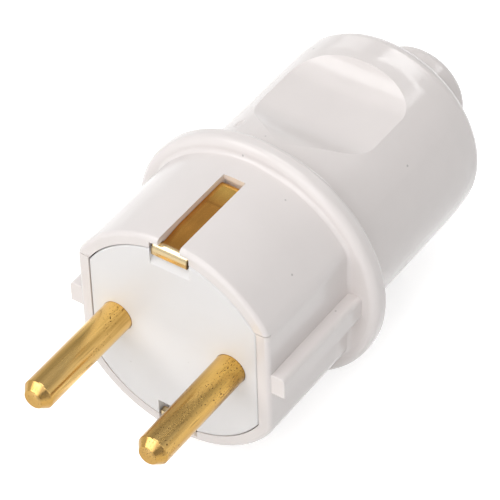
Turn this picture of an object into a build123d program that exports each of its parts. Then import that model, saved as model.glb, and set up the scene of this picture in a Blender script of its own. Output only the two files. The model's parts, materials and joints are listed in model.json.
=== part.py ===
from build123d import *
from math import sqrt
import os

# Straight rewireable two-pole plug with side earth contacts, in millimetres.
# The origin is the centre of the mating face. X points right when facing the pins, Y runs back along
# the plug's axis, so the pins point along -Y, and Z points up to the upper earth contact.

# Pins and their terminal blocks
pin_radius = 2.4
pin_length = 19.4
pin_spacing = 19.0
pin_tip_length = 1.25
pin_tip_radius = 1.45
pin_tip_rounding = 0.25
pin_shoulder_rounding = 0.35
pin_shank_radius = 2.6
terminal_radius = 3.7
terminal_length = 10.0
terminal_chamfer = 0.4
wire_hole_radius = 1.6
wire_hole_depth = 9.0

# Nose: a round section with two flat sides
nose_radius = 18.3
nose_length = 19.8
nose_wall = 1.92
flat_margin = 6.35
upper_corner_rounding = 4.0
lower_corner_rounding = 3.0
rim_rounding = 0.7

# Guide ribs on the flat sides
rib_half_height = 1.75
rib_inset = 0.3
rib_setback = 0.5
rib_upper_rounding = 0.7
rib_edge_rounding = 0.15

# Flange, grip, shoulder and cord neck
flange_height = 2.1
flange_thickness = 3.1
flange_front_rounding = 1.3
flange_back_rounding = 0.9
flange_front_fillet = 0.6
flange_back_fillet = 3.2
grip_margin = 0.55
grip_length = 32.1
grip_wall = 2.25
crown_length = 5.2
crown_drop = 0.35
crown_rounding = 12.0
shoulder_rise = 2.0
shoulder_rounding = 2.5
neck_radius = 7.72
neck_length = 7.8
neck_fillet = 2.5
neck_rounding = 1.7
cord_bore_radius = 5.2
cord_mouth_rounding = 0.8

# Thumb scoops above and below the grip
scoop_depth = 3.1
scoop_setback = 3.2
scoop_lead_length = 10.2
scoop_floor_length = 7.1
scoop_rear_length = 4.7
scoop_start_lift = 0.04
scoop_wall = 2.0

# Seam between the lower body and the upper cover
parting_height = 8.9
parting_gap = 0.15
parting_relief = 0.9
lip_height = 0.8
lip_thickness = 0.6
lip_clearance = 0.12

# Contact carrier
carrier_gap = 0.15
carrier_drop = 0.07
carrier_depth = 14.9
carrier_plate = 5.0
carrier_wall = 1.8
carrier_corner_rounding = 0.5
carrier_edge_rounding = 0.25
pin_boss_radius = 4.0
earth_boss_radius = 3.6
key_depth = 0.8
key_width = 1.8
key_front = 8.1
key_shortfall = 1.8

# Earth strap, its washer and its screw
strap_thickness = 1.0
strap_half_width = 1.75
strap_recess = 1.0
strap_bend_radius = 0.4
strap_dip = 0.35
strap_dip_start = 5.0
strap_dip_end = 1.9
strap_dip_rounding = 3.0
strap_dip_clearance = 0.5
strap_roll_radius = 1.25
strap_lip_length = 1.85
strap_ear_reach = 1.2
strap_ear_depth = 1.3
strap_pad_half_width = 4.0
strap_pad_half_height = 5.0
slot_clearance = 0.05
slot_end_cover = 0.25
strap_pocket_clearance = 0.15
notch_clearance = 0.3
notch_depth_clearance = 0.15
notch_reach = 1.9
washer_half_width = 4.0
washer_thickness = 0.9
washer_rounding = 0.6

# Screws
screw_slot_width = 0.9
screw_slot_depth = 1.0
screw_hole_clearance = 0.2
thread_clearance = 0.05
head_chamfer = 0.3
terminal_screw_radius = 1.45
terminal_screw_head_radius = 2.6
terminal_screw_head_height = 2.0
terminal_screw_lift = 0.2
terminal_screw_tip_height = 0.6
earth_screw_radius = 1.65
earth_screw_head_radius = 3.0
earth_screw_head_height = 2.2
earth_screw_length = 7.0
clamp_screw_radius = 1.2
clamp_screw_head_radius = 2.5
clamp_screw_head_height = 1.8
clamp_screw_length = 9.0
case_screw_radius = 1.4
case_screw_head_radius = 2.8
case_screw_head_height = 2.2
case_screw_length = 17.0
case_screw_setback = 4.4
case_screw_seat_height = 9.5

# Screw bosses that close the casing
case_boss_radius = 4.25
case_boss_split = 4.0
case_boss_gap = 0.1
head_clearance = 0.4
pilot_extra_depth = 1.5

# Cord clamp
clamp_setback = 7.7
clamp_width = 5.6
clamp_arch_radius = 4.4
clamp_arch_thickness = 2.2
clamp_lug_thickness = 2.4
clamp_lug_drop = 0.5
clamp_screw_offset = 9.0
clamp_post_radius = 2.8
saddle_radius = 4.6
saddle_half_width = 6.0
saddle_width = 3.0

# Rear hook of the cover and its ledge
hook_half_width = 5.0
hook_plate_thickness = 1.5
hook_setback = 1.1
hook_toe_reach = 2.4
hook_toe_thickness = 1.7
ledge_thickness = 1.0
ledge_clearance = 0.2
ledge_margin = 1.0

# Inner stops and the chamber they stand in
chamber_end_setback = 2.2
chamber_cone_length = 3.0
roof_margin = 1.6
roof_end_margin = 2.6
backstop_thickness = 2.0
backstop_drop = 2.0
seat_gap = 0.05
root_depth = 1.0

# Moulding gate mark on the cover
gate_angle = -33.0
gate_setback = 6.9
gate_radius = 1.0
gate_depth = 0.3

# Places that follow from the sizes above
pin_offset = pin_spacing / 2
nose_half_width = pin_offset + flat_margin
opening_radius = nose_radius - nose_wall
opening_half_width = nose_half_width - nose_wall
carrier_radius = opening_radius - carrier_gap
carrier_half_width = opening_half_width - carrier_gap
opening_corner = sqrt(opening_radius**2 - opening_half_width**2)
flange_radius = nose_radius + flange_height
flange_back = nose_length + flange_thickness
grip_radius = nose_half_width + grip_margin
shoulder_y = flange_back + grip_length
crown_y = shoulder_y - crown_length
neck_start = shoulder_y + shoulder_rise
neck_end = neck_start + neck_length

scoop_floor = grip_radius - scoop_depth
scoop_start = flange_back + scoop_setback
scoop_floor_start = scoop_start + scoop_lead_length
scoop_floor_end = scoop_floor_start + scoop_floor_length
scoop_end = scoop_floor_end + scoop_rear_length

chamber_radius = min(opening_half_width, grip_radius - grip_wall)
chamber_start = carrier_depth + 2 * seat_gap
chamber_end = shoulder_y - chamber_end_setback
chamber_cone_end = chamber_end + chamber_cone_length
roof_height = scoop_floor - scoop_wall
roof_start = scoop_start - roof_margin
roof_end = scoop_end + roof_end_margin

terminal_start = carrier_depth + seat_gap
terminal_end = terminal_start + terminal_length
terminal_screw_y = (terminal_start + terminal_end) / 2

strap_top = nose_radius - strap_recess
strap_underside = strap_top - strap_thickness
strap_front = carrier_depth + seat_gap
strap_back = strap_front + strap_thickness
strap_lip_top = strap_top - strap_dip
strap_lip_underside = strap_lip_top - strap_thickness
strap_lip_end = strap_lip_top - strap_lip_length
strap_ear_half_width = strap_half_width + strap_ear_reach
slot_half_width = strap_half_width + slot_clearance
slot_end = strap_back - slot_end_cover
notch_half_width = strap_ear_half_width + notch_clearance
notch_back = strap_ear_depth + notch_depth_clearance
notch_end = strap_lip_end - notch_reach

case_screw_y = flange_back + case_screw_setback
clamp_y = chamber_end - clamp_setback
clamp_lug_top = clamp_lug_thickness - clamp_lug_drop
hook_back = chamber_end - hook_setback
hook_front = hook_back - hook_plate_thickness
ledge_bottom = parting_height - ledge_thickness
hook_toe_top = ledge_bottom - ledge_clearance
hook_toe_bottom = hook_toe_top - hook_toe_thickness
span = 2 * flange_radius


# Helpers
def block(x, y, z):
    """Box between a low and a high limit along X, Y and Z."""
    sizes = [high - low for low, high in (x, y, z)]
    centre = [(low + high) / 2 for low, high in (x, y, z)]
    return Pos(*centre) * Box(*sizes)


def along_y(sketch, start, end):
    """Extrude a sketch drawn in X and Z from one Y to another."""
    return extrude(Plane.XZ.offset(-start) * sketch, amount=start - end)


def along_z(sketch, start, end):
    """Extrude a sketch drawn in X and Y from one Z to another."""
    return extrude(Plane.XY.offset(start) * sketch, amount=end - start)


def along_x(sketch, half_width):
    """Extrude a sketch drawn in Y and Z to both sides of the middle plane."""
    return extrude(Plane.YZ * sketch, amount=half_width, both=True)


def both_sides(shape):
    """A shape and its mirror image across the plane between the pins."""
    return shape + mirror(shape, about=Plane.YZ)


def top_and_bottom(shape):
    """A shape and its mirror image across the horizontal middle plane."""
    return shape + mirror(shape, about=Plane.XY)


def corner(sketch, x, y):
    """The corner of a sketch that lies nearest to a point."""
    return sketch.vertices().sort_by_distance((x, y, 0))[0]


def nose_section(radius, half_width, upper_rounding, lower_rounding):
    """Round section with two flat sides, drawn in X and Z."""
    section = Circle(radius) & Rectangle(2 * half_width, 2 * radius)
    section = fillet(section.vertices().filter_by(lambda v: v.Y > 0), upper_rounding)
    return fillet(section.vertices().filter_by(lambda v: v.Y < 0), lower_rounding)


def slotted_screw(radius, head_radius, head_height, length):
    """Slotted screw along Z: the head stands on Z = 0 and the shank points down."""
    head = along_z(Circle(head_radius), 0, head_height)
    head = chamfer(head.edges().group_by(Axis.Z)[-1], head_chamfer)
    slot = block((-head_radius, head_radius), (-screw_slot_width / 2, screw_slot_width / 2),
                 (head_height - screw_slot_depth, head_height))
    shank = along_z(Circle(radius), -length, 0)
    shank = chamfer(shank.edges().group_by(Axis.Z)[0], radius / 3)
    return head - slot + shank


# Outer form of the closed casing
def turned_form():
    """Flange, grip, shoulder and neck, turned about the plug's axis."""
    crown_radius = grip_radius - crown_drop
    flange_step = flange_radius - grip_radius
    profile = make_face(Polyline(
        (0, nose_length), (flange_radius, nose_length), (flange_radius, flange_back),
        (grip_radius, flange_back), (grip_radius, crown_y), (crown_radius, shoulder_y),
        (neck_radius, neck_start), (neck_radius, neck_end), (0, neck_end), close=True))
    profile = fillet(corner(profile, flange_radius, nose_length), flange_front_rounding)
    profile = fillet(corner(profile, flange_radius, flange_back), flange_back_rounding)
    profile = fillet(corner(profile, grip_radius, flange_back),
                     min(flange_back_fillet, flange_step - 1.2 * flange_back_rounding))
    profile = fillet(corner(profile, grip_radius, crown_y), crown_rounding)
    profile = fillet(corner(profile, crown_radius, shoulder_y), shoulder_rounding)
    profile = fillet(corner(profile, neck_radius, neck_start), neck_fillet)
    profile = fillet(corner(profile, neck_radius, neck_end), neck_rounding)
    return revolve(profile, Axis.Y)


def guide_rib():
    """Right-hand guide rib, rooted in the nose's flat side and in the flange."""
    outer = nose_radius - rib_inset
    rib = block((nose_half_width - root_depth, outer), (rib_setback, nose_length + root_depth),
                (-rib_half_height, rib_half_height))
    upper_edge = rib.edges().filter_by(Axis.Y).sort_by_distance((outer, 0, rib_half_height))[0]
    rib = fillet(upper_edge, min(rib_upper_rounding, (outer - nose_half_width) / 2))
    return fillet(rib.faces().sort_by(Axis.Y)[0].edges(), rib_edge_rounding)


def scoop():
    """Thumb scoop cut into the top of the grip: a soft lead-in, a flat floor and a steep rear arc."""
    start = (scoop_start, grip_radius + scoop_start_lift)
    floor_start = (scoop_floor_start, scoop_floor)
    floor_end = (scoop_floor_end, scoop_floor)
    end = (scoop_end, grip_radius)
    outline = [
        Spline(start, floor_start, tangents=((1, 0), (1, 0))),
        Line(floor_start, floor_end),
        TangentArc(floor_end, end, tangent=(1, 0)),
        Polyline(end, (scoop_end, span), (scoop_start, span), start),
    ]
    return along_x(make_face(outline), span)


def outer_form():
    nose = along_y(nose_section(nose_radius, nose_half_width, upper_corner_rounding, lower_corner_rounding),
                   0, nose_length + root_depth)
    nose = fillet(nose.faces().sort_by(Axis.Y)[0].edges(), rim_rounding)
    form = nose + turned_form()
    flange_face = form.faces().filter_by(Axis.Y).sort_by_distance((0, nose_length, 0))
    flange_face = [face for face in flange_face if face.inner_wires()][0]
    form = fillet(flange_face.inner_wires()[0].edges(), flange_front_fillet)
    form += both_sides(guide_rib())
    return form - top_and_bottom(scoop())


# Hollow of the closed casing
def hollow():
    opening = along_y(nose_section(opening_radius, opening_half_width, carrier_corner_rounding,
                                   lower_corner_rounding - nose_wall), -root_depth, chamber_start)
    chamber = along_y(Circle(chamber_radius), chamber_start, chamber_end)
    chamber -= top_and_bottom(block((-span, span), (roof_start, roof_end), (roof_height, span)))
    cone = revolve(make_face(Polyline(
        (0, chamber_end), (chamber_radius, chamber_end), (cord_bore_radius, chamber_cone_end),
        (cord_bore_radius, neck_end), (0, neck_end), close=True)), Axis.Y)
    slot = block((-slot_half_width, slot_half_width), (-root_depth, slot_end), (0, span))
    pocket = block((-slot_half_width, slot_half_width), (0, strap_back + strap_pocket_clearance),
                   (0, strap_top + strap_pocket_clearance))
    notch = block((-notch_half_width, notch_half_width), (-root_depth, notch_back),
                  (0, strap_lip_top + notch_clearance / 2))
    return opening + chamber + cone + top_and_bottom(slot + pocket + notch)


OUTER = outer_form()
casing = OUTER - hollow()
mouth = casing.edges().filter_by(GeomType.CIRCLE).group_by(Axis.Y)[-1].sort_by(SortBy.RADIUS)[0]
casing = fillet(mouth, cord_mouth_rounding)


def rooted(shape):
    """The part of an inner feature that lies inside the casing's outer form."""
    return shape & OUTER


def wall_bound(shape):
    """The part of an inner feature that lies in the chamber, rooted in its wall."""
    return shape & along_y(Circle(chamber_radius + root_depth), 0, chamber_end)


# Lower body
def lower_body():
    body = casing & block((-span, span), (-span, neck_end + span), (-span, parting_height))

    key_top = opening_corner - key_shortfall
    key = block((opening_half_width - key_depth, opening_half_width + root_depth),
                (key_front, key_front + key_width), (-key_top, key_top))
    body += both_sides(key)

    backstop = block((pin_offset - terminal_radius, span),
                     (terminal_end + 2 * seat_gap, terminal_end + 2 * seat_gap + backstop_thickness),
                     (-span, -backstop_drop))
    body += both_sides(wall_bound(backstop))

    boss = along_z(Pos(0, case_screw_y) * Circle(case_boss_radius), -grip_radius, -case_boss_split)
    body += rooted(boss)

    post = along_z(Pos(clamp_screw_offset, clamp_y) * Circle(clamp_post_radius),
                   -roof_height - root_depth, -clamp_lug_drop - seat_gap)
    body += both_sides(wall_bound(post))

    saddle = block((-saddle_half_width, saddle_half_width),
                   (clamp_y - saddle_width / 2, clamp_y + saddle_width / 2),
                   (-roof_height - root_depth, -clamp_lug_drop - seat_gap))
    body += saddle - along_y(Circle(saddle_radius), clamp_y - saddle_width, clamp_y + saddle_width)

    ledge = block((-hook_half_width - ledge_margin, hook_half_width + ledge_margin),
                  (hook_back + ledge_clearance, chamber_cone_end), (ledge_bottom, parting_height))
    body += ledge

    lip_inner = sqrt(chamber_radius**2 - parting_height**2)
    lip = block((lip_inner, lip_inner + lip_thickness), (roof_start + root_depth, hook_front - root_depth),
                (parting_height - lip_height, parting_height + lip_height))
    body += both_sides(lip)

    head_hole_radius = case_screw_head_radius + head_clearance
    body -= along_z(Pos(0, case_screw_y) * Circle(head_hole_radius), -span, -case_screw_seat_height)
    body -= along_z(Pos(0, case_screw_y) * Circle(case_screw_radius + screw_hole_clearance), -span, span)
    clamp_pilot = along_z(Pos(clamp_screw_offset, clamp_y) * Circle(clamp_screw_radius + thread_clearance),
                          clamp_lug_top - clamp_screw_length - pilot_extra_depth, 0)
    return body - both_sides(clamp_pilot)


# Upper cover
def upper_cover():
    cover = casing & block((-span, span), (-span, neck_end + span), (parting_height, span))
    cover -= block((-span, span), (-span, parting_relief), (0, parting_height + parting_gap))

    boss = along_z(Pos(0, case_screw_y) * Circle(case_boss_radius - head_clearance),
                   case_boss_gap - case_boss_split, grip_radius)
    cover += rooted(boss)

    plate = block((-hook_half_width, hook_half_width), (hook_front, hook_back), (hook_toe_bottom, span))
    toe = block((-hook_half_width, hook_half_width), (hook_front, hook_back + hook_toe_reach),
                (hook_toe_bottom, hook_toe_top))
    cover += wall_bound(plate) + toe

    lip_inner = sqrt(chamber_radius**2 - parting_height**2)
    rebate = block((0, lip_inner + lip_thickness + lip_clearance),
                   (roof_start + root_depth - lip_clearance, hook_front - root_depth + lip_clearance),
                   (parting_height, parting_height + lip_height + lip_clearance))
    rebate -= along_z(Pos(0, case_screw_y) * Circle(case_boss_radius), 0, span)
    cover -= both_sides(rebate)

    screw_tip = case_screw_length - case_screw_seat_height
    cover -= along_z(Pos(0, case_screw_y) * Circle(case_screw_radius + thread_clearance),
                     -case_boss_split, screw_tip + pilot_extra_depth)

    gate_sphere = (gate_radius**2 + gate_depth**2) / (2 * gate_depth)
    gate = Pos(0, 0, grip_radius - gate_depth + gate_sphere) * Sphere(gate_sphere)
    return cover - Pos(0, flange_back + gate_setback, 0) * Rot(0, gate_angle, 0) * gate


# Contact carrier
def contact_carrier():
    lower_rounding = max(lower_corner_rounding - nose_wall - carrier_gap, carrier_corner_rounding)
    outline = nose_section(carrier_radius, carrier_half_width, carrier_corner_rounding, lower_rounding)
    full = along_y(Pos(0, -carrier_drop) * outline, 0, carrier_depth)
    full = fillet(full.faces().sort_by(Axis.Y)[0].edges(), carrier_edge_rounding)
    full = chamfer(full.faces().sort_by(Axis.Y)[-1].edges(), strap_bend_radius)
    cup_outline = nose_section(carrier_radius - carrier_wall, carrier_half_width - carrier_wall,
                               carrier_corner_rounding, carrier_corner_rounding)
    cup = along_y(cup_outline, carrier_plate, carrier_depth)
    bosses = along_y(Pos(pin_offset, 0) * Circle(pin_boss_radius), carrier_plate, carrier_depth)
    bosses = both_sides(bosses) + along_y(Circle(earth_boss_radius), carrier_plate, carrier_depth)
    carrier = full - cup + (bosses & full)

    bore = revolve(make_face(Polyline(
        (0, 0), (pin_radius + seat_gap, 0), (pin_shank_radius + seat_gap, carrier_depth), (0, carrier_depth),
        close=True)), Axis.Y)
    carrier -= both_sides(Pos(pin_offset, 0, 0) * bore)
    carrier -= along_y(Circle(earth_screw_radius + screw_hole_clearance), carrier_plate, carrier_depth)

    groove = block((carrier_half_width - key_depth, span),
                   (key_front - seat_gap, key_front + key_width + seat_gap), (-span, span))
    carrier -= both_sides(groove)

    notch = along_x(make_face(Polyline(
        (0, notch_end), (notch_back, strap_lip_end - notch_depth_clearance), (notch_back, span), (0, span),
        close=True)), notch_half_width)
    bed = block((-slot_half_width, slot_half_width), (0, carrier_depth), (strap_underside - seat_gap, span))
    dip = block((-slot_half_width, slot_half_width), (0, strap_dip_start + strap_dip_clearance),
                (strap_lip_underside - seat_gap, span))
    return carrier - top_and_bottom(notch + bed + dip)


# Pins
def pin(side):
    """Solid pin with its terminal block: side is -1 for the left pin and 1 for the right."""
    profile = make_face(Polyline(
        (0, -pin_length), (pin_tip_radius, -pin_length), (pin_radius, pin_tip_length - pin_length),
        (pin_radius, 0), (pin_shank_radius, terminal_start),
        (terminal_radius, terminal_start), (terminal_radius, terminal_end), (0, terminal_end), close=True))
    profile = fillet(corner(profile, pin_tip_radius, -pin_length), pin_tip_rounding)
    profile = fillet(corner(profile, pin_radius, pin_tip_length - pin_length), pin_shoulder_rounding)
    profile = chamfer(corner(profile, terminal_radius, terminal_end), terminal_chamfer)
    shape = revolve(profile, Axis.Y)
    shape -= along_y(Circle(wire_hole_radius), terminal_end - wire_hole_depth, terminal_end)
    tapped = Pos(0, terminal_screw_y) * Circle(terminal_screw_radius + thread_clearance)
    shape -= along_z(tapped, 0, terminal_radius)
    return Pos(side * pin_offset, 0, 0) * shape


def terminal_screws():
    length = terminal_radius + terminal_screw_lift - terminal_screw_tip_height
    screw = slotted_screw(terminal_screw_radius, terminal_screw_head_radius, terminal_screw_head_height,
                          length)
    return Compound([Pos(side * pin_offset, terminal_screw_y, terminal_radius + terminal_screw_lift) * screw
                     for side in (-1, 1)])


# Earth contact
def earth_strap():
    """Strip bent round the carrier, with a rolled T-shaped lip at each end and a pad behind the carrier."""
    upper = make_face(Polyline(
        (strap_front, 0), (strap_front, strap_underside), (strap_dip_start, strap_underside),
        (strap_dip_end, strap_lip_underside), (strap_thickness, strap_lip_underside),
        (strap_thickness, strap_lip_end), (0, strap_lip_end), (0, strap_lip_top),
        (strap_dip_end, strap_lip_top), (strap_dip_start, strap_top), (strap_back, strap_top),
        (strap_back, 0), close=True))
    upper = fillet(corner(upper, strap_front, strap_underside), strap_bend_radius)
    upper = fillet(corner(upper, strap_back, strap_top), strap_bend_radius + strap_thickness)
    upper = fillet(corner(upper, strap_thickness, strap_lip_underside), strap_roll_radius - strap_thickness)
    upper = fillet(corner(upper, 0, strap_lip_top), strap_roll_radius)
    for level, lip_level in ((strap_top, strap_lip_top), (strap_underside, strap_lip_underside)):
        upper = fillet(corner(upper, strap_dip_start, level), strap_dip_rounding)
        upper = fillet(corner(upper, strap_dip_end, lip_level), strap_dip_rounding)
    section = upper + mirror(upper, about=Plane.XZ)
    strip = along_x(section, strap_half_width)
    ears = along_x(section, strap_ear_half_width)
    ears &= block((-span, span), (0, strap_ear_depth), (-span, span))
    pad = block((-strap_pad_half_width, strap_pad_half_width), (strap_front, strap_back),
                (-strap_pad_half_height, strap_pad_half_height))
    hole = along_y(Circle(earth_screw_radius + thread_clearance), strap_front, strap_back)
    return strip + ears + pad - hole


def earth_clamp_washer():
    plate = RectangleRounded(2 * washer_half_width, 2 * washer_half_width, washer_rounding)
    plate -= Circle(earth_screw_radius + screw_hole_clearance)
    return along_y(plate, strap_back, strap_back + washer_thickness)


def earth_screw():
    screw = slotted_screw(earth_screw_radius, earth_screw_head_radius, earth_screw_head_height,
                          earth_screw_length)
    return Pos(0, strap_back + washer_thickness, 0) * Rot(-90, 0, 0) * screw


# Cord clamp
def cord_clamp():
    """Arched bar over the cord with a lug for a screw at each end."""
    outer_radius = clamp_arch_radius + clamp_arch_thickness
    lug_end = clamp_screw_offset + clamp_post_radius
    section = Circle(outer_radius) & Pos(0, outer_radius / 2) * Rectangle(2 * outer_radius, outer_radius)
    section += Pos(0, clamp_lug_top - clamp_lug_thickness / 2) * Rectangle(2 * lug_end, clamp_lug_thickness)
    section -= Circle(clamp_arch_radius)
    bar = along_y(section, clamp_y - clamp_width / 2, clamp_y + clamp_width / 2)
    ends = [edge for edge in bar.edges().filter_by(Axis.Z) if abs(edge.center().X) > clamp_screw_offset]
    bar = fillet(ends, clamp_post_radius / 2)
    hole = along_z(Pos(clamp_screw_offset, clamp_y) * Circle(clamp_screw_radius + screw_hole_clearance),
                   -clamp_lug_drop, clamp_lug_top)
    return bar - both_sides(hole)


def cord_clamp_screws():
    screw = slotted_screw(clamp_screw_radius, clamp_screw_head_radius, clamp_screw_head_height,
                          clamp_screw_length)
    return Compound([Pos(side * clamp_screw_offset, clamp_y, clamp_lug_top) * screw for side in (-1, 1)])


def case_screw():
    screw = slotted_screw(case_screw_radius, case_screw_head_radius, case_screw_head_height,
                          case_screw_length)
    return Pos(0, case_screw_y, -case_screw_seat_height) * Rot(180, 0, 0) * screw


nodes = {
    "lower_body": lower_body(),
    "upper_cover": upper_cover(),
    "contact_carrier": contact_carrier(),
    "left_pin": pin(-1),
    "right_pin": pin(1),
    "terminal_screws": terminal_screws(),
    "earth_strap": earth_strap(),
    "earth_clamp_washer": earth_clamp_washer(),
    "earth_screw": earth_screw(),
    "cord_clamp": cord_clamp(),
    "cord_clamp_screws": cord_clamp_screws(),
    "case_screw": case_screw(),
}
os.makedirs("parts", exist_ok=True)
for name, shape in nodes.items():
    export_step(shape, f"parts/{name}.step")
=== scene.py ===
"""Looks of a white two-pole plug with brass pins and earth contacts, in metres, in the plug's own frame:
X to the right facing the pins, Y back along the axis, Z up, origin at the centre of the mating face."""
import json
import math

import bmesh
import bpy
from mathutils import Matrix, Quaternion, Vector


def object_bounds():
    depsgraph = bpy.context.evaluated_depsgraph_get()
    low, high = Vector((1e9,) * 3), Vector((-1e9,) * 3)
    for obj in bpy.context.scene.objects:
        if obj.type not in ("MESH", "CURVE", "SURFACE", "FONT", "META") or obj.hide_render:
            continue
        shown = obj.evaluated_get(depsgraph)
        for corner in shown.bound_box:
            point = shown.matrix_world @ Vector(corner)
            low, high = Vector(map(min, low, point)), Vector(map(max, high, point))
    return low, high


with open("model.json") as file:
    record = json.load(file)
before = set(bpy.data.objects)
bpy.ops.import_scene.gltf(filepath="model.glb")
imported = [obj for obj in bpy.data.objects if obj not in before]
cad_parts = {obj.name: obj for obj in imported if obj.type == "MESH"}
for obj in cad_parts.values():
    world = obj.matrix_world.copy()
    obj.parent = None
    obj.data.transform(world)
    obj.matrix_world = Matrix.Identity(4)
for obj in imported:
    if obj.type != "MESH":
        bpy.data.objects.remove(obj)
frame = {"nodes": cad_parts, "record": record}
cad_low, cad_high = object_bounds()
nodes = frame["nodes"]

MM = 0.001

# Camera: where it stands, its angles in degrees, and its lens and sensor in millimetres
camera_eye = Vector((185.45, -241.64, 301.83)) * MM
camera_azimuth = 35.454
camera_elevation = 43.116
camera_roll = 1.802
camera_lens = 224.75
camera_sensor = 36.0

# Floor, whose glow changes with the distance from the plug
floor_size = 6.0
floor_gap = 0.2 * MM
floor_albedo = (0.80, 0.80, 0.80, 1.0)
floor_glow = (0.62, 0.84)
floor_glow_reach = (0.35, 1.40)

# World, and the backdrop, which changes between two heights of the sky
world_light = 0.20
backdrop_white = (1.0, 1.0, 1.0, 1.0)
backdrop_upper = (0.48, 0.48, 0.48, 1.0)
backdrop_rise = (0.22, 0.60)

# Soft boxes by name: place, width and height in metres, turn in degrees, and power in watts
soft_boxes = {
    "left_key": ((-0.52, -0.46, 0.70), (0.75, 0.55), 0.0, 3.8),
    "right_key": ((0.22, -0.60, 0.76), (0.80, 0.60), 0.0, 3.3),
    "front_box": ((0.10, -0.90, 0.30), (0.60, 0.60), 0.0, 1.8),
    "right_box": ((0.82, -0.12, 0.44), (0.60, 0.60), 0.0, 0.70),
    "top_box": ((0.00, 0.10, 1.00), (0.60, 0.60), 0.0, 2.6),
    "back_strip": ((0.08, 0.75, 0.65), (0.76, 0.09), 4.0, 1.14),
    "far_strip": ((-0.60, 0.71, 0.30), (0.44, 0.06), -66.0, 0.11),
}

# Colours, as linear values
casing_white = (0.800, 0.752, 0.735, 1.0)
casing_shade = (0.775, 0.727, 0.710, 1.0)
carrier_white = (0.800, 0.790, 0.792, 1.0)
carrier_shade = (0.778, 0.766, 0.766, 1.0)
plastic_speck = (0.330, 0.310, 0.300, 1.0)
# Painted highlight on the pins
brass_painted_highlight = (0.960, 0.655, 0.245, 1.0)
brass_rubbed = (0.720, 0.475, 0.175, 1.0)
brass_golden = (0.800, 0.490, 0.115, 1.0)
# Tarnish and streaks on the pins, and their painted shade
brass_tarnish_and_shade = (0.440, 0.255, 0.062, 1.0)
# Pits and scores, and painted shade on the tip's cone and at the strap's lip tips
brass_dark_for_pits_and_shade = (0.130, 0.072, 0.026, 1.0)
# Painted highlight on the strap's lip roll
strap_painted_highlight_pale = (0.900, 0.740, 0.460, 1.0)
strap_rubbed = (0.560, 0.445, 0.260, 1.0)
# Painted golden highlight on the strap past the crease
strap_painted_highlight_gold = (0.860, 0.520, 0.130, 1.0)
strap_browned = (0.700, 0.335, 0.075, 1.0)
# Tarnish on the strap, and its painted shade at the edges and along the crease
strap_tarnish_and_shade = (0.500, 0.230, 0.050, 1.0)
zinc_bright = (0.720, 0.715, 0.700, 1.0)
zinc_dull = (0.560, 0.555, 0.540, 1.0)

# Plastic: range of roughness, how strongly its specks show, their size, and its index of refraction
casing_gloss = (0.11, 0.16)
carrier_gloss = (0.34, 0.44)
casing_specks = 0.55
carrier_specks = 0.20
speck_spacing = 5.0 * MM
speck_radius = 0.22 * MM
speck_core = 0.6
plastic_index = 1.5

# Pins: their spacing, and the roughness that a score or a pit adds to their brass
pin_spacing = 19.0 * MM
mark_roughness = 0.3

# Stretches of the pins where their brass changes or their painted highlight and painted shade lie, along Y,
# along Z, and along X
pin_cone_end = (-18.3 * MM, -18.1 * MM)
pin_bright_start = (-18.0 * MM, -12.0 * MM)
pin_brown_end = (-18.0 * MM, -14.5 * MM)
pin_golden_rise = (-14.0 * MM, 0.0)
pin_root_rise = (-9.0 * MM, -2.0 * MM)
pin_bright_under = (0.2 * MM, 3.2 * MM)
pin_brown_under = (0.2 * MM, 2.1 * MM)
pin_cone_upper = (0.3 * MM, 0.9 * MM)
pin_left_to_right = (-1.0 * MM, 1.0 * MM)
pin_left_flank = (8.3 * MM, 10.2 * MM)
pin_cone_right = (10.0 * MM, 10.5 * MM)
pin_pitted_side = (9.0 * MM, 11.5 * MM)

# Stretches of the earth strap where its brass changes or its painted highlight and painted shade lie, along
# Y, and away from its middle
lip_roll = (0.10 * MM, 0.45 * MM)
lip_back = (0.75 * MM, 1.15 * MM)
strap_darker_behind_lip = (1.8 * MM, 5.0 * MM)
strap_crease = 10.8 * MM
strap_crease_fade = (0.10 * MM, 0.30 * MM)
strap_highlight_rise = (10.8 * MM, 13.8 * MM)
strap_shaded_edges = (1.25 * MM, 1.70 * MM)
lip_shaded_tips = (2.65 * MM, 2.90 * MM)


class Nodes:
    """A node tree, with short calls for the nodes that the finishes and the studio share."""

    def __init__(self, owner):
        owner.use_nodes = True
        self.tree = owner.node_tree

    def join(self, socket, value):
        """Link a socket to another one, or set its value."""
        if isinstance(value, bpy.types.NodeSocket):
            self.tree.links.new(value, socket)
        else:
            socket.default_value = value

    def add(self, kind, *values, **settings):
        """New node with its settings, and with values or links for its first sockets."""
        node = self.tree.nodes.new(kind)
        for key, setting in settings.items():
            setattr(node, key, setting)
        for socket, value in zip(node.inputs, values):
            self.join(socket, value)
        return node

    def feed(self, node, **values):
        """Set or link a node's sockets, named with _ for spaces."""
        for key, value in values.items():
            self.join(node.inputs[key.replace("_", " ")], value)
        return node

    def spread(self, value, over, to=(0.0, 1.0)):
        """Map one range of a value to another range."""
        return self.add("ShaderNodeMapRange", value, *over, *to).outputs["Result"]

    def maths(self, operation, *values):
        return self.add("ShaderNodeMath", *values, operation=operation).outputs["Value"]

    def product(self, first, *others):
        for other in others:
            first = self.maths("MULTIPLY", first, other)
        return first

    def rest_of(self, share):
        """What a share leaves of 1."""
        return self.maths("SUBTRACT", 1.0, share)

    def mix(self, factor, first, second):
        """Blend of two colours, each a value or a socket."""
        node = self.add("ShaderNodeMix", data_type="RGBA")
        return self.feed(node, Factor=factor, A=first, B=second).outputs["Result"]

    def sees_backdrop(self):
        """1 for rays that see the backdrop itself: those of the camera, of gloss and of glass."""
        rays = self.add("ShaderNodeLightPath").outputs
        camera_or_gloss = self.maths("MAXIMUM", rays["Is Camera Ray"], rays["Is Glossy Ray"])
        return self.maths("MAXIMUM", camera_or_gloss, rays["Is Transmission Ray"])


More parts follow.
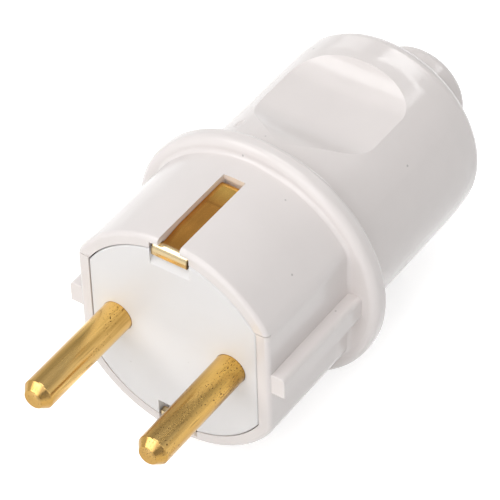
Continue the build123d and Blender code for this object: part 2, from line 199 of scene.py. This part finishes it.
class Finish(Nodes):
    """A material of the plug, whose patterns lie on the coordinates of the plug's own frame."""

    def __init__(self, name):
        self.material = bpy.data.materials.new(name)
        super().__init__(self.material)
        self.shader = self.tree.nodes["Principled BSDF"]
        self.coords = self.add("ShaderNodeTexCoord").outputs["Object"]

    def places(self):
        """Places along the plug's three axes, in metres."""
        return self.add("ShaderNodeSeparateXYZ", self.coords).outputs

    def noise(self, scale, detail, roughness, drawn=None):
        """Noise, drawn out along Y where the scale there is given."""
        vector = self.coords
        if drawn is not None:
            mapping = self.feed(self.add("ShaderNodeMapping"), Vector=vector, Scale=(1.0, drawn, 1.0))
            vector = mapping.outputs["Vector"]
        node = self.add("ShaderNodeTexNoise", vector)
        return self.feed(node, Scale=scale, Detail=detail, Roughness=roughness).outputs["Fac"]

    def specks(self, spacing, radius):
        """1 inside small spheres that lie scattered through the piece."""
        node = self.feed(self.add("ShaderNodeTexVoronoi", self.coords), Scale=1.0 / spacing)
        rim = radius / spacing
        return self.spread(node.outputs["Distance"], over=(speck_core * rim, rim), to=(1.0, 0.0))

    def bump(self, height, distance, strength, onto=None):
        """Normal with a relief, on top of another normal where one is given."""
        node = self.feed(self.add("ShaderNodeBump"), Height=height, Distance=distance, Strength=strength)
        if onto is not None:
            self.feed(node, Normal=onto)
        return node.outputs["Normal"]


# Finishes
def moulded_plastic(name, light, shade, gloss, speckled):
    """White moulded plastic: faint clouding, a fine skin, uneven gloss and a few small grey specks."""
    finish = Finish(name)
    cloud = finish.noise(scale=90.0, detail=3.0, roughness=0.55)
    skin = finish.noise(scale=2600.0, detail=2.0, roughness=0.6)
    waves = finish.noise(scale=160.0, detail=2.0, roughness=0.5)
    clouded = finish.mix(finish.spread(cloud, over=(0.35, 0.7)), light, shade)
    specks = finish.product(finish.specks(speck_spacing, speck_radius), speckled)
    waved = finish.bump(waves, distance=0.25 * MM, strength=0.12)
    finish.feed(
        finish.shader,
        Base_Color=finish.mix(specks, clouded, plastic_speck),
        Roughness=finish.spread(cloud, over=(0.3, 0.7), to=gloss),
        Normal=finish.bump(skin, distance=0.02 * MM, strength=0.35, onto=waved),
        IOR=plastic_index,
    )
    return finish.material


def drawn_brass(name):
    """Brass drawn along the plug's axis: rubbed at the tip and golden at the root, with tarnish, streaks,
    score lines and small pits. Painted highlight on the left pin's underside and painted shade on the right
    pin's underside and under the tips, on the upper right of the tip's cone, and on the left flank ahead of
    a painted highlight at its root."""
    finish = Finish(name)
    x, y, z = finish.places()
    across = finish.maths("FLOORED_MODULO", x, pin_spacing)
    right_pin = finish.spread(x, over=pin_left_to_right)
    left_pin = finish.rest_of(right_pin)
    streaks = finish.noise(scale=2200.0, detail=3.0, roughness=0.55, drawn=0.04)
    tarnish = finish.noise(scale=380.0, detail=2.0, roughness=0.5, drawn=0.25)
    worn = finish.noise(scale=300.0, detail=1.0, roughness=0.5, drawn=0.30)
    lines = finish.noise(scale=3600.0, detail=1.0, roughness=0.5, drawn=0.06)
    speckle = finish.noise(scale=5600.0, detail=1.0, roughness=0.5, drawn=0.55)

    # Length, with a painted highlight under the left pin and painted shade under the right pin and under the
    # tips
    bright_under = finish.spread(z, over=pin_bright_under, to=(0.95, 0.0))
    bright_along = finish.spread(y, over=pin_bright_start, to=(0.2, 1.0))
    brown_under = finish.spread(z, over=pin_brown_under, to=(0.9, 0.0))
    brown_along = finish.maths("MAXIMUM", right_pin, finish.spread(y, over=pin_brown_end, to=(1.0, 0.0)))
    tone = finish.mix(finish.spread(y, over=pin_golden_rise), brass_rubbed, brass_golden)
    tone = finish.mix(finish.product(bright_under, left_pin, bright_along), tone, brass_painted_highlight)
    tone = finish.mix(finish.product(brown_under, brown_along), tone, brass_tarnish_and_shade)

    # Painted shade on the upper right of the tip's cone, and on the left flank a painted highlight at the
    # root and painted shade ahead of it
    cone = finish.spread(y, over=pin_cone_end, to=(0.7, 0.0))
    cone_right = finish.spread(across, over=pin_cone_right)
    cone_upper = finish.spread(z, over=pin_cone_upper)
    flank = finish.spread(across, over=pin_left_flank, to=(0.8, 0.0))
    root = finish.spread(y, over=pin_root_rise)
    tone = finish.mix(finish.product(cone, cone_right, cone_upper), tone, brass_dark_for_pits_and_shade)
    tone = finish.mix(finish.product(flank, root), tone, brass_painted_highlight)
    tone = finish.mix(finish.product(flank, finish.rest_of(root)), tone, brass_tarnish_and_shade)

    # Tarnish and streaks, then scores and pits, which lie thickest on the right pin's outer side
    tone = finish.mix(finish.spread(tarnish, over=(0.45, 0.75), to=(0.0, 0.6)), tone, brass_tarnish_and_shade)
    tone = finish.mix(finish.spread(streaks, over=(0.48, 0.75), to=(0.0, 0.6)), tone, brass_tarnish_and_shade)
    scores = finish.spread(lines, over=(0.66, 0.76), to=(0.0, 0.55))
    wear = finish.maths("ADD", worn, finish.spread(x, over=pin_pitted_side, to=(0.0, 0.16)))
    pits = finish.product(finish.spread(speckle, over=(0.62, 0.69)), finish.spread(wear, over=(0.58, 0.68)))
    marks = finish.maths("MAXIMUM", scores, pits)
    polish = finish.spread(streaks, over=(0.3, 0.7), to=(0.16, 0.27))
    relief = finish.maths("SUBTRACT", streaks, marks)
    finish.feed(
        finish.shader,
        Base_Color=finish.mix(marks, tone, brass_dark_for_pits_and_shade),
        Metallic=1.0,
        Roughness=finish.maths("ADD", polish, finish.product(marks, mark_roughness)),
        Normal=finish.bump(relief, distance=0.012 * MM, strength=0.3),
    )
    return finish.material


def rolled_brass(name):
    """Smooth brass strip with faint lines from the rolls: lips rubbed tan on their face, with a painted
    highlight on the roll and painted shade at their tips, and the length behind them browned, darker behind
    the lips, with painted shade at its edges and along the crease, and a painted golden highlight past it."""
    finish = Finish(name)
    x, y, _ = finish.places()
    aside = finish.maths("ABSOLUTE", x)
    off_crease = finish.maths("ABSOLUTE", finish.maths("SUBTRACT", y, strap_crease))
    lines = finish.noise(scale=1500.0, detail=2.0, roughness=0.5, drawn=0.03)
    tarnish = finish.noise(scale=420.0, detail=2.0, roughness=0.5, drawn=0.4)
    length = finish.mix(finish.spread(tarnish, over=(0.35, 0.75)), strap_browned, strap_tarnish_and_shade)
    # Painted golden highlight past the crease
    length = finish.mix(finish.spread(y, over=strap_highlight_rise), length, strap_painted_highlight_gold)
    length = finish.mix(finish.spread(y, over=strap_darker_behind_lip, to=(0.8, 0.0)), length, strap_tarnish_and_shade)
    # Painted shade along the crease, then at the edges
    length = finish.mix(finish.spread(off_crease, over=strap_crease_fade, to=(0.7, 0.0)), length, strap_tarnish_and_shade)
    length = finish.mix(finish.spread(aside, over=strap_shaded_edges, to=(0.0, 0.9)), length, strap_tarnish_and_shade)
    # Painted highlight on the lip's roll, then painted shade at the lip tips
    lip = finish.mix(finish.spread(y, over=lip_roll), strap_rubbed, strap_painted_highlight_pale)
    lip = finish.mix(finish.spread(aside, over=lip_shaded_tips, to=(0.0, 0.9)), lip, brass_dark_for_pits_and_shade)
    finish.feed(
        finish.shader,
        Base_Color=finish.mix(finish.spread(y, over=lip_back), lip, length),
        Metallic=1.0,
        Roughness=finish.spread(lines, over=(0.3, 0.7), to=(0.16, 0.26)),
        Normal=finish.bump(lines, distance=0.01 * MM, strength=0.25),
    )
    return finish.material


def zinc_plate(name):
    """Zinc plate of the screws and the washer, with a fine grain."""
    finish = Finish(name)
    grain = finish.noise(scale=900.0, detail=3.0, roughness=0.6)
    finish.feed(
        finish.shader,
        Base_Color=finish.mix(finish.spread(grain, over=(0.35, 0.7)), zinc_bright, zinc_dull),
        Metallic=1.0,
        Roughness=finish.spread(grain, over=(0.3, 0.7), to=(0.28, 0.42)),
        Normal=finish.bump(grain, distance=0.02 * MM, strength=0.3),
    )
    return finish.material


finishes = {
    "casing_plastic": moulded_plastic(
        "casing_plastic_skin", casing_white, casing_shade, gloss=casing_gloss, speckled=casing_specks),
    "carrier_plastic": moulded_plastic(
        "carrier_plastic_skin", carrier_white, carrier_shade, gloss=carrier_gloss, speckled=carrier_specks),
    "pin_brass": drawn_brass("pin_brass_drawn"),
    "strap_brass": rolled_brass("strap_brass_rolled"),
    "screw_steel": zinc_plate("screw_zinc_plate"),
}
for subpart in frame["record"]["subparts"]:
    nodes[subpart["node"]].material_slots[0].material = finishes[subpart["material_slot"]]


# Studio
def make_floor():
    """Pale floor that keeps the plug's shadow and shows white where it is lit."""
    mesh = bpy.data.meshes.new("floor")
    sheet = bmesh.new()
    bmesh.ops.create_grid(sheet, x_segments=1, y_segments=1, size=floor_size / 2,
                          matrix=Matrix.Translation((0, 0, cad_low.z - floor_gap)))
    sheet.to_mesh(mesh)
    sheet.free()
    floor = bpy.data.objects.new("floor", mesh)
    bpy.context.scene.collection.objects.link(floor)
    material = bpy.data.materials.new("floor_paper")
    paper = Nodes(material)
    paper.tree.nodes.clear()
    coords = paper.add("ShaderNodeTexCoord").outputs["Object"]
    distance = paper.add("ShaderNodeVectorMath", coords, operation="LENGTH").outputs["Value"]
    strength = paper.spread(distance, over=floor_glow_reach, to=floor_glow)
    matt = paper.add("ShaderNodeBsdfDiffuse", floor_albedo)
    glow = paper.add("ShaderNodeEmission")
    paper.feed(glow, Strength=paper.product(paper.sees_backdrop(), strength))
    both = paper.add("ShaderNodeAddShader", matt.outputs[0], glow.outputs[0])
    paper.add("ShaderNodeOutputMaterial", both.outputs[0])
    mesh.materials.append(material)


def make_world():
    """Even light from all round; the backdrop is white at the horizon and greyer overhead."""
    world = bpy.data.worlds.new("studio")
    bpy.context.scene.world = world
    sky = Nodes(world)
    sky.tree.nodes.clear()
    coords = sky.add("ShaderNodeTexCoord").outputs["Generated"]
    height = sky.add("ShaderNodeSeparateXYZ", coords).outputs["Z"]
    seen = sky.mix(sky.spread(height, over=backdrop_rise), backdrop_white, backdrop_upper)
    light = sky.feed(sky.add("ShaderNodeBackground"), Strength=world_light)
    backdrop = sky.add("ShaderNodeBackground", seen)
    both = sky.add("ShaderNodeMixShader", sky.sees_backdrop(), light.outputs[0], backdrop.outputs[0])
    sky.add("ShaderNodeOutputWorld", both.outputs[0])


def make_soft_box(name, place, size, turn, power):
    """Soft box of a width and a height that faces the plug, turned about the line to it."""
    lamp = bpy.data.lights.new(name, "AREA")
    lamp.shape = "RECTANGLE"
    lamp.size, lamp.size_y = size
    lamp.energy = power
    box = bpy.data.objects.new(name, lamp)
    box.location = place
    box.rotation_mode = "QUATERNION"
    facing = (-Vector(place)).to_track_quat("-Z", "Y")
    box.rotation_quaternion = facing @ Quaternion((0, 0, 1), math.radians(turn))
    bpy.context.scene.collection.objects.link(box)


def make_camera():
    """Camera at the photograph's viewing angle."""
    data = bpy.data.cameras.new("camera")
    data.sensor_width = camera_sensor
    data.lens = camera_lens
    camera = bpy.data.objects.new("camera", data)
    azimuth = math.radians(camera_azimuth)
    elevation = math.radians(camera_elevation)
    forward = Vector((-math.sin(azimuth) * math.cos(elevation), math.cos(azimuth) * math.cos(elevation),
                      -math.sin(elevation)))
    level = forward.to_track_quat("-Z", "Y")
    camera.rotation_mode = "QUATERNION"
    camera.rotation_quaternion = level @ Quaternion((0, 0, 1), -math.radians(camera_roll))
    camera.location = camera_eye
    bpy.context.scene.collection.objects.link(camera)
    bpy.context.scene.camera = camera


make_floor()
make_world()
for name, (place, size, turn, power) in soft_boxes.items():
    make_soft_box(name, place, size, turn, power)
make_camera()
bpy.context.scene.view_settings.view_transform = "Standard"
